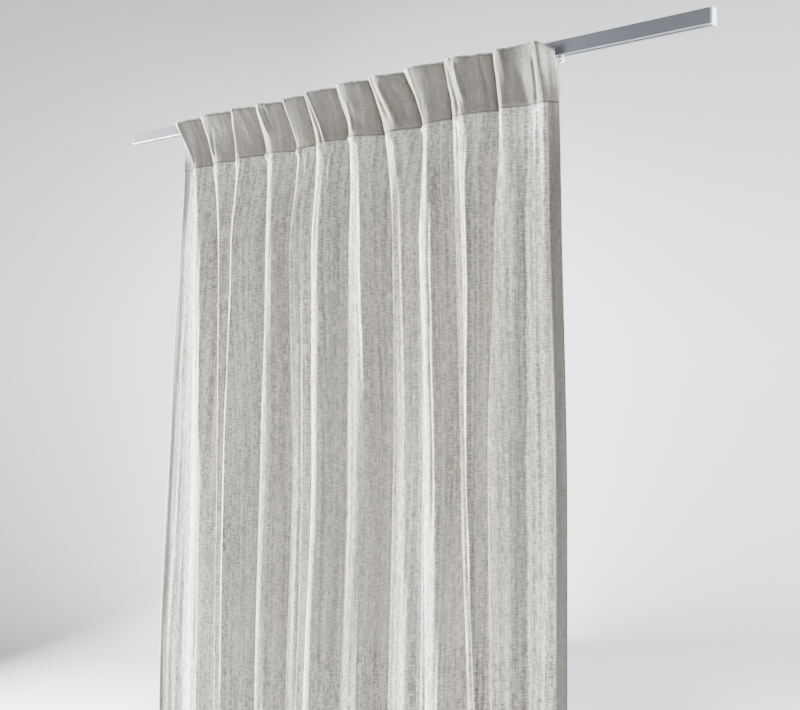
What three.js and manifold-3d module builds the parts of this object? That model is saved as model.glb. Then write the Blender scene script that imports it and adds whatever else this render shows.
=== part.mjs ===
// A sheer linen curtain that hangs in soft, uneven folds from a plain aluminium ceiling rail.
// Millimetres. X runs along the rail, the room is toward -Y, the window side is +Y, and +Z is up.
// The origin is the middle of the rail's top face.

import * as THREE from 'three';
import { mergeVertices } from 'three/addons/utils/BufferGeometryUtils.js';
import Module from 'manifold-3d';

// Rail: a drawn channel with a slot along its underside.
const railLength = 1400;
const railDepth = 16;
const railHeight = 23;
const railWall = 1.6;
const railChamfer = 0.8;
const slotWidth = 5;
const capThickness = 3;
const capPlugLength = 8;

// Clearance between pieces that touch on the real curtain.
const seatGap = 0.3;

// Gliders run in the channel and carry a wire hook each.
const gliderHead = { alongRail: 9, depth: 10, height: 3.5 };
const gliderNeck = { alongRail: 5, depth: 3.4, overlap: 1 };
const gliderEye = { radius: 4.4, holeRadius: 2.4, below: 5.6 };
const hookWire = 2;
const hookTail = 7;
const hookDip = 0.5;
const hookLegShares = [0.4, 0.66, 0.88];
const hookSides = 3;
const hookSteps = 14;
const hookBendSoftness = 0.2;
const eyeSteps = 8;

// Cloth: one flat cut, hemmed on four sides, with a deep turned-down heading.
const flatWidth = 1400;
const clothThickness = 1.2;
const hemThickness = 2;
const sideHem = 18;
const bottomHem = 120;
const hemStep = 3;
const sharpBendLimit = 1.5;
const hollowScale = { least: 0.2, most: 3, halvings: 30 };

// Heights at which the folds are given, down from the rail's top.
const heights = { top: -8, stitch: -103, high: -300, mid: -700, low: -1250, hem: -2507 };

// Where each fold's leading edge stands along the rail, at each height.
const foldPlace = [
  { fold: 'left edge', top: -490, stitch: -487, high: -500, mid: -534, low: -571, hem: -585 },
  { fold: '1', top: -479, stitch: -444, high: -426, mid: -430, low: -457, hem: -470 },
  { fold: '2', top: -391, stitch: -380, high: -342, mid: -337, low: -359, hem: -372 },
  { fold: '3', top: -288, stitch: -303, high: -289, mid: -309, low: -323, hem: -331 },
  { fold: '4', top: -213, stitch: -210, high: -187, mid: -201, low: -222, hem: -229 },
  { fold: '5', top: -133, stitch: -119, high: -119, mid: -121, low: -140, hem: -144 },
  { fold: '6', top: -71, stitch: -63, high: -56, mid: -55, low: -78, hem: -84 },
  { fold: '7', top: 18, stitch: 25, high: 39, mid: 34, low: 11, hem: 4 },
  { fold: '8', top: 96, stitch: 111, high: 147, mid: 140, low: 123, hem: 115 },
  { fold: '9', top: 178, stitch: 199, high: 204, mid: 217, low: 218, hem: 222 },
  { fold: '10', top: 267, stitch: 263, high: 281, mid: 295, low: 320, hem: 327 },
  { fold: '11', top: 363, stitch: 359, high: 359, mid: 346, low: 354, hem: 365 },
  { fold: 'right corner', top: 445, stitch: 449, high: 447, mid: 452, low: 446, hem: 452 },
  { fold: 'right edge', top: 457, stitch: 468, high: 474, mid: 484, low: 485, hem: 493 },
];

// How far each of those edges stands out toward the room from the middle of the rail.
const foldReach = [
  { fold: 'left edge', top: 14, stitch: 15, high: 20, mid: 22, low: 24, hem: 24 },
  { fold: '1', top: 53, stitch: 30, high: 46, mid: 40, low: 32, hem: 30 },
  { fold: '2', top: 55, stitch: 27, high: 44, mid: 46, low: 36, hem: 34 },
  { fold: '3', top: 54, stitch: 30, high: 52, mid: 54, low: 54, hem: 54 },
  { fold: '4', top: 53, stitch: 26, high: 51, mid: 53, low: 51, hem: 50 },
  { fold: '5', top: 50, stitch: 23, high: 40, mid: 33, low: 31, hem: 30 },
  { fold: '6', top: 55, stitch: 30, high: 49, mid: 51, low: 52, hem: 52 },
  { fold: '7', top: 56, stitch: 28, high: 51, mid: 52, low: 51, hem: 50 },
  { fold: '8', top: 57, stitch: 30, high: 41, mid: 31, low: 29, hem: 28 },
  { fold: '9', top: 55, stitch: 26, high: 50, mid: 52, low: 53, hem: 53 },
  { fold: '10', top: 59, stitch: 31, high: 48, mid: 50, low: 51, hem: 51 },
  { fold: '11', top: 53, stitch: 33, high: 44, mid: 46, low: 44, hem: 42 },
  { fold: 'right corner', top: 49, stitch: 30, high: 28, mid: 24, low: 24, hem: 24 },
  { fold: 'right edge', top: 14, stitch: 15, high: 18, mid: 20, low: 20, hem: 20 },
];

// The other rows of these tables are the two outer edges and the right corner.
const foldCount = foldPlace.length - 3;

// How deep the hollow after each fold is beside the others, before it is sized to the cloth.
const hollowDepth = [
  { after: 'left edge', top: 4, stitch: 3, high: 6, mid: 8, low: 6, hem: 6 },
  { after: '1', top: 19, stitch: 18, high: 30, mid: 20, low: 14, hem: 14 },
  { after: '2', top: 20, stitch: 19, high: 38, mid: 24, low: 15, hem: 15 },
  { after: '3', top: 18, stitch: 20, high: 40, mid: 46, low: 48, hem: 48 },
  { after: '4', top: 19, stitch: 18, high: 36, mid: 34, low: 33, hem: 33 },
  { after: '5', top: 17, stitch: 17, high: 24, mid: 20, low: 18, hem: 18 },
  { after: '6', top: 20, stitch: 19, high: 36, mid: 38, low: 38, hem: 38 },
  { after: '7', top: 20, stitch: 18, high: 38, mid: 40, low: 42, hem: 42 },
  { after: '8', top: 20, stitch: 20, high: 24, mid: 20, low: 17, hem: 17 },
  { after: '9', top: 19, stitch: 18, high: 38, mid: 42, low: 42, hem: 42 },
  { after: '10', top: 18, stitch: 18, high: 32, mid: 26, low: 15, hem: 15 },
  { after: '11', top: 3, stitch: 5, high: 12, mid: 14, low: 16, hem: 16 },
  { after: 'right corner', top: 1, stitch: 1, high: 2, mid: 3, low: 3, hem: 3 },
];

// How much higher or lower than level the top edge and the heading's seam run at each fold.
const headingRise = [
  { fold: 'left edge', top: -6, stitch: -8 },
  { fold: '1', top: -4, stitch: -8 },
  { fold: '2', top: 1, stitch: -4 },
  { fold: '3', top: 0, stitch: -3 },
  { fold: '4', top: -1, stitch: 0 },
  { fold: '5', top: -3, stitch: -3 },
  { fold: '6', top: -1, stitch: 2 },
  { fold: '7', top: 1, stitch: 4 },
  { fold: '8', top: 1, stitch: 0 },
  { fold: '9', top: 1, stitch: 3 },
  { fold: '10', top: 3, stitch: 8 },
  { fold: '11', top: 1, stitch: 8 },
  { fold: 'right corner', top: 2, stitch: 6 },
  { fold: 'right edge', top: -4, stitch: 4 },
];

// Share of the way to the next fold that each crest's broad front takes.
const crestShare = [
  { fold: '1', head: 0.2, body: 0.34 },
  { fold: '2', head: 0.24, body: 0.3 },
  { fold: '3', head: 0.2, body: 0.1 },
  { fold: '4', head: 0.26, body: 0.34 },
  { fold: '5', head: 0.2, body: 0.2 },
  { fold: '6', head: 0.3, body: 0.26 },
  { fold: '7', head: 0.18, body: 0.34 },
  { fold: '8', head: 0.3, body: 0.2 },
  { fold: '9', head: 0.22, body: 0.34 },
  { fold: '10', head: 0.3, body: 0.16 },
];

// A crest's front seen from above, from its leading edge to the point that stands out furthest.
// Along is a share of the crest's width, depth a share of the hollow's depth.
const crestSection = [
  { headAlong: 0.0, headDepth: 0.5, bodyAlong: 0.0, bodyDepth: 0.36 },
  { headAlong: 0.2, headDepth: 0.2, bodyAlong: 0.2, bodyDepth: 0.14 },
  { headAlong: 1.0, headDepth: 0.0, bodyAlong: 1.0, bodyDepth: 0.0 },
];

// The rest of the fold, back to the next leading edge: a flat panel with a narrow tuck behind its
// end in the heading, and a rounded wave with a steep left side in the body.
// Along is a share of the way to the next fold.
const hollowSection = [
  { headAlong: 0.52, headDepth: 0.12, bodyAlong: 0.42, bodyDepth: 0.14 },
  { headAlong: 0.86, headDepth: 0.38, bodyAlong: 0.58, bodyDepth: 0.56 },
  { headAlong: 0.945, headDepth: 0.6, bodyAlong: 0.72, bodyDepth: 0.93 },
  { headAlong: 0.925, headDepth: 1.0, bodyAlong: 0.82, bodyDepth: 1.0 },
  { headAlong: 0.975, headDepth: 1.0, bodyAlong: 0.92, bodyDepth: 0.78 },
];
const tuckRow = 3;

// The outer ends, from above: the left return, the last panel, and the right return.
const leftReturnSection = [
  { headAlong: 0.0, headDepth: 0.0, bodyAlong: 0.0, bodyDepth: 0.0 },
  { headAlong: 0.25, headDepth: 0.1, bodyAlong: 0.42, bodyDepth: 0.8 },
  { headAlong: 0.45, headDepth: 0.15, bodyAlong: 0.62, bodyDepth: 1.0 },
  { headAlong: 0.65, headDepth: 0.15, bodyAlong: 0.84, bodyDepth: 0.8 },
];
const lastPanelSection = [
  { headAlong: 0.0, headDepth: 2.2, bodyAlong: 0.0, bodyDepth: 0.7 },
  { headAlong: 0.04, headDepth: 0.9, bodyAlong: 0.05, bodyDepth: 0.35 },
  { headAlong: 0.12, headDepth: 0.2, bodyAlong: 0.2, bodyDepth: 0.0 },
  { headAlong: 0.3, headDepth: 0.6, bodyAlong: 0.42, bodyDepth: 0.35 },
  { headAlong: 0.52, headDepth: 1.0, bodyAlong: 0.58, bodyDepth: 0.9 },
  { headAlong: 0.76, headDepth: 0.6, bodyAlong: 0.76, bodyDepth: 1.0 },
  { headAlong: 0.93, headDepth: 0.2, bodyAlong: 0.92, bodyDepth: 0.5 },
];
const rightReturnSection = [
  { headAlong: 0.0, headDepth: 0.4, bodyAlong: 0.0, bodyDepth: 0.0 },
  { headAlong: 0.55, headDepth: 0.0, bodyAlong: 0.5, bodyDepth: 0.3 },
  { headAlong: 1.0, headDepth: 0.0, bodyAlong: 1.0, bodyDepth: 0.0 },
];

// Rows of the cloth's faces, as drops below the top edge. The heading and the hem step at their seams.
const headingRows = [0, 0.16, 0.4, 0.66, 0.88, 1];
const bodyRows = [-122, -150, -195, -260, -345, -450, -580, -740, -930, -1160, -1480, -1900];
const headingFadeEnd = -290;

// Finishes.
const finishes = {
  cloth: { color: 0xd8d4cc, roughness: 0.95, metalness: 0 },
  aluminium: { color: 0xb4b8bd, roughness: 0.35, metalness: 1 },
  capPlastic: { color: 0xaeb1b5, roughness: 0.5, metalness: 0 },
  gliderPlastic: { color: 0xe9e9e6, roughness: 0.45, metalness: 0 },
  steelWire: { color: 0xc4c6c8, roughness: 0.3, metalness: 1 },
};

// Corners of a shape that are closer than this are one point.
const weldDistance = 1e-4;

const wasm = await Module();
wasm.setup();

const curtainOnRail = new THREE.Group();

const addPiece = (name, geometry, finish) => {
  const piece = new THREE.Mesh(geometry, new THREE.MeshStandardMaterial(finish));
  piece.name = name;
  curtainOnRail.add(piece);
};

const toSolid = (geometry) => {
  const bare = geometry.clone();
  bare.deleteAttribute('normal');
  bare.deleteAttribute('uv');
  const merged = mergeVertices(bare, weldDistance);
  const mesh = new wasm.Mesh({
    numProp: 3,
    vertProperties: new Float32Array(merged.attributes.position.array),
    triVerts: new Uint32Array(merged.index.array),
  });
  return new wasm.Manifold(mesh);
};

const toGeometry = (solid) => {
  const mesh = solid.getMesh();
  const geometry = new THREE.BufferGeometry();
  geometry.setAttribute('position', new THREE.BufferAttribute(mesh.vertProperties, 3));
  geometry.setIndex(new THREE.BufferAttribute(mesh.triVerts, 1));
  return geometry;
};

// A shape drawn in Y and Z, pushed along X by its length and centred there.
const extrudeAlongRail = (shape, length) => {
  const geometry = new THREE.ExtrudeGeometry(shape, { depth: length, bevelEnabled: false });
  const turn = new THREE.Matrix4().makeBasis(
    new THREE.Vector3(0, 1, 0),
    new THREE.Vector3(0, 0, 1),
    new THREE.Vector3(1, 0, 0),
  );
  geometry.applyMatrix4(turn);
  geometry.translate(-length / 2, 0, 0);
  return geometry;
};

// A smooth curve through values at falling heights, with no overshoot between them.
const valueAt = (row, z) => {
  const names = Object.keys(heights).filter((name) => name in row);
  const zs = names.map((name) => heights[name]);
  const values = names.map((name) => row[name]);
  const last = zs.length - 1;
  if (z >= zs[0]) {
    return values[0];
  }
  if (z <= zs[last]) {
    return values[last];
  }
  const slopes = zs.slice(1).map((low, i) => (values[i + 1] - values[i]) / (low - zs[i]));
  const tangents = zs.map((_, i) => {
    if (i === 0) {
      return slopes[0];
    }
    if (i === last) {
      return slopes[last - 1];
    }
    const before = slopes[i - 1];
    const after = slopes[i];
    return before * after <= 0 ? 0 : (2 * before * after) / (before + after);
  });
  const i = zs.findIndex((_, k) => k < last && z >= zs[k + 1]);
  const step = zs[i + 1] - zs[i];
  const t = (z - zs[i]) / step;
  const held = (1 + 2 * t) * (1 - t) * (1 - t) * values[i] + t * t * (3 - 2 * t) * values[i + 1];
  const bent = t * (1 - t) * (1 - t) * step * tangents[i] - t * t * (1 - t) * step * tangents[i + 1];
  return held + bent;
};

// 1 in the heading and 0 in the body, with a soft change below the seam.
const headingShare = (z) => {
  const t = THREE.MathUtils.clamp((z - headingFadeEnd) / (heights.stitch - headingFadeEnd), 0, 1);
  return t * t * (3 - 2 * t);
};

// The cloth's middle line at one height, as seen from above, for a given scale of its hollows.
const clothLine = (z, depthScale) => {
  const share = headingShare(z);
  const place = foldPlace.map((row) => valueAt(row, z));
  const reach = foldReach.map((row) => valueAt(row, z));
  const hollow = hollowDepth.map((row) => valueAt(row, z) * depthScale);
  const mix = (body, head) => THREE.MathUtils.lerp(body, head, share);
  const firstFoldDepth = mix(crestSection[0].bodyDepth, crestSection[0].headDepth) * hollow[1];
  const points = [];
  const addSection = (section, i, endDepth, bodyWidth = 1, headWidth = 1) => {
    section.forEach((row) => {
      const along = mix(row.bodyAlong * bodyWidth, row.headAlong * headWidth);
      const depth = mix(row.bodyDepth, row.headDepth) * hollow[i] + endDepth * along;
      const x = THREE.MathUtils.lerp(place[i], place[i + 1], along);
      const y = depth - THREE.MathUtils.lerp(reach[i], reach[i + 1], along);
      points.push({ x, y, fold: i + along });
    });
  };
  addSection(leftReturnSection, 0, firstFoldDepth);
  crestShare.forEach((crest, i) => {
    addSection(crestSection, i + 1, 0, crest.body, crest.head);
    addSection(hollowSection, i + 1, 0);
  });
  addSection(lastPanelSection, foldCount, 0);
  addSection(rightReturnSection, foldCount + 1, 0);
  return points;
};

const lineLength = (points) =>
  points.slice(1).reduce((sum, p, i) => sum + Math.hypot(p.x - points[i].x, p.y - points[i].y), 0);

// The hollows are deepened or flattened together until the line uses up the whole flat width.
const sizedLine = (z) => {
  let low = hollowScale.least;
  let high = hollowScale.most;
  for (let turn = 0; turn < hollowScale.halvings; turn += 1) {
    const middle = (low + high) / 2;
    if (lineLength(clothLine(z, middle)) < flatWidth) {
      low = middle;
    } else {
      high = middle;
    }
  }
  return clothLine(z, low);
};

// Adds a point at a distance along the line, so that a hem's inner edge falls on a row of points.
const withPointAt = (points, distance) => {
  let walked = 0;
  for (let i = 1; i < points.length; i += 1) {
    const a = points[i - 1];
    const b = points[i];
    const step = Math.hypot(b.x - a.x, b.y - a.y);
    if (walked + step > distance) {
      const t = (distance - walked) / step;
      const mix = (key) => THREE.MathUtils.lerp(a[key], b[key], t);
      const added = { x: mix('x'), y: mix('y'), fold: mix('fold') };
      return [...points.slice(0, i), added, ...points.slice(i)];
    }
    walked += step;
  }
  return points;
};

// The same line with a point at both edges of each side hem's step.
const hemmedLine = (z) => {
  const fromLeft = withPointAt(withPointAt(sizedLine(z), sideHem), sideHem + hemStep);
  const fromRight = withPointAt(withPointAt(fromLeft.reverse(), sideHem), sideHem + hemStep);
  return fromRight.reverse();
};

const riseAt = (fold, name) => {
  const i = Math.min(Math.floor(fold), headingRise.length - 2);
  return THREE.MathUtils.lerp(headingRise[i][name], headingRise[i + 1][name], fold - i);
};

// Each row of the cloth: its height, how much of the heading's unevenness it takes, and its thickness.
const clothRows = () => {
  const seam = heights.stitch;
  const hemSeam = heights.hem + bottomHem;
  const rows = headingRows.map((share) => ({
    z: THREE.MathUtils.lerp(heights.top, seam, share),
    topRise: 1 - share,
    seamRise: share,
    thickness: hemThickness,
  }));
  rows.push({ z: seam - hemStep, topRise: 0, seamRise: 1, thickness: clothThickness });
  bodyRows.forEach((z) => {
    const seamRise = THREE.MathUtils.clamp((z - headingFadeEnd) / (seam - headingFadeEnd), 0, 1);
    rows.push({ z, topRise: 0, seamRise, thickness: clothThickness });
  });
  rows.push({ z: hemSeam + hemStep, topRise: 0, seamRise: 0, thickness: clothThickness });
  rows.push({ z: hemSeam, topRise: 0, seamRise: 0, thickness: hemThickness });
  rows.push({ z: heights.hem, topRise: 0, seamRise: 0, thickness: hemThickness });
  return rows;
};

// The way across the line at a point, made longer at a bend so that the cloth is as thick there.
const acrossLine = (before, p, after) => {
  const into = new THREE.Vector2(p.x - before.x, p.y - before.y).normalize();
  const out = new THREE.Vector2(after.x - p.x, after.y - p.y).normalize();
  const along = into.clone().add(out);
  const atLineEnd = into.length() === 0 || out.length() === 0;
  const reach = atLineEnd ? 1 : Math.min(2 / along.length(), sharpBendLimit);
  along.normalize();
  return new THREE.Vector2(along.y, -along.x).multiplyScalar(reach);
};

// Points of the front and back face, pushed off the middle line by half of the cloth's thickness.
const clothFaces = () =>
  clothRows().map((row) => {
    const line = hemmedLine(row.z);
    const last = line.length - 1;
    return line.map((p, i) => {
      const across = acrossLine(line[Math.max(i - 1, 0)], p, line[Math.min(i + 1, last)]);
      const inSideHem = i <= 1 || i >= last - 1;
      const half = (inSideHem ? hemThickness : row.thickness) / 2;
      const z = row.z + row.topRise * riseAt(p.fold, 'top') + row.seamRise * riseAt(p.fold, 'stitch');
      const front = [p.x + across.x * half, p.y + across.y * half, z];
      const back = [p.x - across.x * half, p.y - across.y * half, z];
      return { front, back };
    });
  });

const makeCloth = () => {
  const rows = clothFaces();
  const columns = rows[0].length;
  const positions = [];
  rows.forEach((row) => row.forEach((p) => positions.push(...p.front, ...p.back)));
  const front = (r, c) => 2 * (r * columns + c);
  const back = (r, c) => front(r, c) + 1;
  const index = [];
  const quad = (a, b, c, d) => index.push(a, b, c, a, c, d);
  for (let r = 0; r < rows.length - 1; r += 1) {
    for (let c = 0; c < columns - 1; c += 1) {
      quad(front(r, c), front(r + 1, c), front(r + 1, c + 1), front(r, c + 1));
      quad(back(r, c), back(r, c + 1), back(r + 1, c + 1), back(r + 1, c));
    }
    quad(front(r, 0), back(r, 0), back(r + 1, 0), front(r + 1, 0));
    const end = columns - 1;
    quad(front(r, end), front(r + 1, end), back(r + 1, end), back(r, end));
  }
  const bottom = rows.length - 1;
  for (let c = 0; c < columns - 1; c += 1) {
    quad(front(0, c), front(0, c + 1), back(0, c + 1), back(0, c));
    quad(front(bottom, c), back(bottom, c), back(bottom, c + 1), front(bottom, c + 1));
  }
  const geometry = new THREE.BufferGeometry();
  geometry.setAttribute('position', new THREE.Float32BufferAttribute(positions, 3));
  geometry.setIndex(index);
  return geometry;
};

// The rail's section, with a slot in its underside and a small chamfer along its front lower edge.
const makeRail = () => {
  const outer = railDepth / 2;
  const inner = outer - railWall;
  const slot = slotWidth / 2;
  const outline = new THREE.Shape([
    new THREE.Vector2(-outer, 0),
    new THREE.Vector2(-outer, -railHeight + railChamfer),
    new THREE.Vector2(-outer + railChamfer, -railHeight),
    new THREE.Vector2(-slot, -railHeight),
    new THREE.Vector2(-slot, -railHeight + railWall),
    new THREE.Vector2(-inner, -railHeight + railWall),
    new THREE.Vector2(-inner, -railWall),
    new THREE.Vector2(inner, -railWall),
    new THREE.Vector2(inner, -railHeight + railWall),
    new THREE.Vector2(slot, -railHeight + railWall),
    new THREE.Vector2(slot, -railHeight),
    new THREE.Vector2(outer, -railHeight),
    new THREE.Vector2(outer, 0),
  ]);
  return extrudeAlongRail(outline, railLength);
};

const boxSolid = (sizeX, sizeY, sizeZ, x, y, z) => {
  const box = new THREE.BoxGeometry(sizeX, sizeY, sizeZ);
  box.translate(x, y, z);
  return toSolid(box);
};

// A cap over one end of the rail, with a plug that fits inside the channel.
const makeEndCap = (side) => {
  const faceX = side * (railLength / 2 + seatGap + capThickness / 2);
  const face = boxSolid(capThickness, railDepth, railHeight, faceX, 0, -railHeight / 2);
  const plugDepth = railDepth - 2 * railWall - 2 * seatGap;
  const plugHeight = railHeight - 2 * railWall - 2 * seatGap;
  const plugReach = capPlugLength + seatGap + capThickness / 2;
  const plugX = side * (railLength / 2 - capPlugLength + plugReach / 2);
  const plug = boxSolid(plugReach, plugDepth, plugHeight, plugX, 0, -railHeight / 2);
  return toGeometry(face.add(plug));
};

// A glider: a head that rests on the slot's lips, a neck through the slot, and an eye below the rail.
const eyeCentreZ = -railHeight - gliderEye.below;
const makeGlider = (x) => {
  const headBottom = -railHeight + railWall + seatGap;
  const head = boxSolid(
    gliderHead.alongRail,
    gliderHead.depth,
    gliderHead.height,
    x,
    0,
    headBottom + gliderHead.height / 2,
  );
  const neckTop = headBottom + gliderNeck.overlap;
  const neckBottom = eyeCentreZ + gliderEye.holeRadius + gliderNeck.overlap;
  const neckZ = (neckTop + neckBottom) / 2;
  const neck = boxSolid(gliderNeck.alongRail, gliderNeck.depth, neckTop - neckBottom, x, 0, neckZ);
  const ring = new THREE.Shape();
  ring.absarc(0, 0, gliderEye.radius, 0, 2 * Math.PI);
  const hole = new THREE.Path();
  hole.absarc(0, 0, gliderEye.holeRadius, 0, 2 * Math.PI, true);
  ring.holes.push(hole);
  const eye = new THREE.ExtrudeGeometry(ring, {
    depth: gliderNeck.depth,
    bevelEnabled: false,
    curveSegments: eyeSteps,
  });
  eye.rotateX(Math.PI / 2);
  eye.translate(x, gliderNeck.depth / 2, eyeCentreZ);
  return toGeometry(head.add(neck).add(toSolid(eye)));
};

// A wire hook: it passes through the glider's eye and its leg lies down the back of the heading.
const makeHook = (path) => {
  const section = new THREE.Shape();
  section.absarc(0, 0, hookWire / 2, 0, 2 * Math.PI);
  return new THREE.ExtrudeGeometry(section, {
    steps: hookSteps,
    curveSegments: hookSides,
    bevelEnabled: false,
    extrudePath: new THREE.CatmullRomCurve3(path, false, 'catmullrom', hookBendSoftness),
  });
};

// How far back the middle line comes within a wire's width of a place along the rail.
const furthestBack = (line, x) => {
  let back = -Infinity;
  for (let i = 1; i < line.length; i += 1) {
    const a = line[i - 1];
    const b = line[i];
    [x - hookWire, x, x + hookWire].forEach((place) => {
      const t = (place - a.x) / (b.x - a.x);
      if (t >= 0 && t <= 1) {
        back = Math.max(back, THREE.MathUtils.lerp(a.y, b.y, t));
      }
    });
  }
  return back;
};

// A point of a hook's leg, seated behind the heading's back at a share of the way down it.
const legPoint = (pickPoint, share) => {
  const z = THREE.MathUtils.lerp(heights.top, heights.stitch, share);
  const line = sizedLine(z);
  const seat = pickPoint(line);
  const back = Math.max(seat.y, furthestBack(line, seat.x)) + hemThickness / 2;
  const rise = THREE.MathUtils.lerp(riseAt(seat.fold, 'top'), riseAt(seat.fold, 'stitch'), share);
  return new THREE.Vector3(seat.x, back + seatGap + hookWire / 2, z + rise);
};

const hookPath = (pickPoint) => {
  const leg = hookLegShares.map((share) => legPoint(pickPoint, share));
  const x = leg[0].x;
  const wireZ = eyeCentreZ - gliderEye.holeRadius + seatGap + hookWire / 2;
  const overEye = [
    new THREE.Vector3(x, hookTail, wireZ + hookTail / 2),
    new THREE.Vector3(x, hookTail / 2, wireZ + hookDip),
    new THREE.Vector3(x, 0, wireZ),
    new THREE.Vector3(x, -hookTail / 2, wireZ - 2 * hookDip),
  ];
  return [...overEye, ...leg];
};

// The middle of a tuck's bottom, where a hook holds it.
const tuckBottom = (line, fold) => {
  const foldRows = crestSection.length + hollowSection.length;
  const first = leftReturnSection.length + (fold - 1) * foldRows + crestSection.length + tuckRow;
  const a = line[first];
  const b = line[first + 1];
  return { x: (a.x + b.x) / 2, y: Math.max(a.y, b.y), fold: a.fold };
};

addPiece('rail', makeRail(), finishes.aluminium);
addPiece('end_cap_left', makeEndCap(-1), finishes.capPlastic);
addPiece('end_cap_right', makeEndCap(1), finishes.capPlastic);
addPiece('curtain_cloth', makeCloth(), finishes.cloth);

const hookSeats = [(line) => line[0]];
for (let fold = 1; fold < foldCount; fold += 1) {
  hookSeats.push((line) => tuckBottom(line, fold));
}
hookSeats.push((line) => line.at(-1));
hookSeats.forEach((pickPoint, i) => {
  const number = String(i + 1).padStart(2, '0');
  const path = hookPath(pickPoint);
  addPiece(`glider_${number}`, makeGlider(path[0].x), finishes.gliderPlastic);
  addPiece(`hook_${number}`, makeHook(path), finishes.steelWire);
});

export default curtainOnRail;
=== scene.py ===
# Sheer linen curtain on a flat aluminium ceiling rail: the looks.
# Metres, X along the rail, its front toward -Y, +Z up, the origin in the middle of the rail's top.
import bpy
import math
import numpy as np
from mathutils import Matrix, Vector


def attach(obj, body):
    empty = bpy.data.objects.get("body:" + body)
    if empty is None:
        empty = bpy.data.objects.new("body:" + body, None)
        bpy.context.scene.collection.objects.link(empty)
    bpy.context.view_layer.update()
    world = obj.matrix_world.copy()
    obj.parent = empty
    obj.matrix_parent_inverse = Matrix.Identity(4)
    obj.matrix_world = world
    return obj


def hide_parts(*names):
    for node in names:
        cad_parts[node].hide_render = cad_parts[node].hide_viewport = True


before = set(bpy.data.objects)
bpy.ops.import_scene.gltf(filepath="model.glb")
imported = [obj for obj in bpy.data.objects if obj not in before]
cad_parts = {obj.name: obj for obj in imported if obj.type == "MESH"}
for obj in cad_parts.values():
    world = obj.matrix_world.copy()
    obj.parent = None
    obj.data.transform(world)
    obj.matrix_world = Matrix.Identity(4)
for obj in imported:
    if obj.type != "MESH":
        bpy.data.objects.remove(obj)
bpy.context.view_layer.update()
mm = 0.001
print("frame loaded:", len(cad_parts), "nodes")

# camera: level, turned 40 degrees to the left, as in the photograph
cameraSettings = {
    "place": (1.152, -1.215, -0.416),
    "turn": 40,
    "lens": 39.47,
    "sensor": 36,
    "shiftY": -48 / 800,
    "nearest": 0.05,
}
camera = bpy.data.cameras.new("camera")
camera.lens = cameraSettings["lens"]
camera.sensor_width = cameraSettings["sensor"]
camera.shift_y = cameraSettings["shiftY"]
camera.clip_start = cameraSettings["nearest"]
cameraObject = bpy.data.objects.new("camera", camera)
cameraObject.location = cameraSettings["place"]
cameraObject.rotation_euler = (math.radians(90), 0, math.radians(cameraSettings["turn"]))
bpy.context.scene.collection.objects.link(cameraObject)
bpy.context.scene.camera = cameraObject
print("camera set")


def toLinear(hexColour):
    # sRGB hex to linear
    parts = [int(hexColour[i:i + 2], 16) / 255 for i in (1, 3, 5)]
    linear = [p / 12.92 if p <= 0.04045 else ((p + 0.055) / 1.055) ** 2.4 for p in parts]
    return (*linear, 1)


def addNode(tree, kind, settings=None, links=None):
    # adds one node: settings go to its properties or sockets, links join its sockets to outputs
    node = tree.nodes.new(kind)
    for key, value in (settings or {}).items():
        if isinstance(key, int) or key in node.inputs:
            node.inputs[key].default_value = value
        else:
            setattr(node, key, value)
    for key, source in (links or {}).items():
        tree.links.new(source, node.inputs[key])
    return node


def newMaterial(name):
    material = bpy.data.materials.new(name)
    material.use_nodes = True
    material.node_tree.nodes.clear()
    return material, material.node_tree


# The cloth, in millimetres. Where its folds stand, how far they reach and how deep they go are the
# solid's own values. The curve of each fold between its edges and the last panel are fitted
# to the bright and dark bands of the photograph, so they differ from the solid's by a few mm.
cloth = {
    "width": 1400,
    "sideHem": 18,
    "bottomHem": 120,
    "fadeEnd": -290,  # the heading's tight folds have given way to the body's here
    "midHeading": -60,
    "columnStep": 2.0,
    "leastColumns": 3,  # between two anchors
    "curveSteps": 10,  # points of the smooth curve between two of the tables' points
    "facingSpan": 1.5,  # the cloth's direction is taken over this much to each side
    "turnGap": 1.5,  # how far the turned-over hems lie behind the front
    "hemGap": 0.5,  # and the side hems
    "doubledLift": 0.7,  # a doubled place stands this much prouder
    "depthLow": 0.2,  # the hollows' depth is sized between these shares of the table's
    "depthHigh": 3.0,
    "halvings": 24,
}
heights = {"top": -8, "stitch": -103, "high": -300, "mid": -700, "low": -1250, "hem": -2507}
headingDeep = heights["top"] - heights["stitch"]
clothDrop = heights["top"] - heights["hem"]

# where each fold's leading edge stands along the rail:
# left edge, folds 1 to 11, right corner, right edge
foldPlace = {
    "top": [-490, -479, -391, -288, -213, -133, -71, 18, 96, 178, 267, 363, 445, 457],
    "stitch": [-487, -444, -380, -303, -210, -119, -63, 25, 111, 199, 263, 359, 449, 468],
    "high": [-500, -426, -342, -289, -187, -119, -56, 39, 147, 204, 281, 359, 447, 474],
    "mid": [-534, -430, -337, -309, -201, -121, -55, 34, 140, 217, 295, 346, 452, 484],
    "low": [-571, -457, -359, -323, -222, -140, -78, 11, 123, 218, 320, 354, 446, 485],
    "hem": [-585, -470, -372, -331, -229, -144, -84, 4, 115, 222, 327, 365, 452, 493],
}
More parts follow.
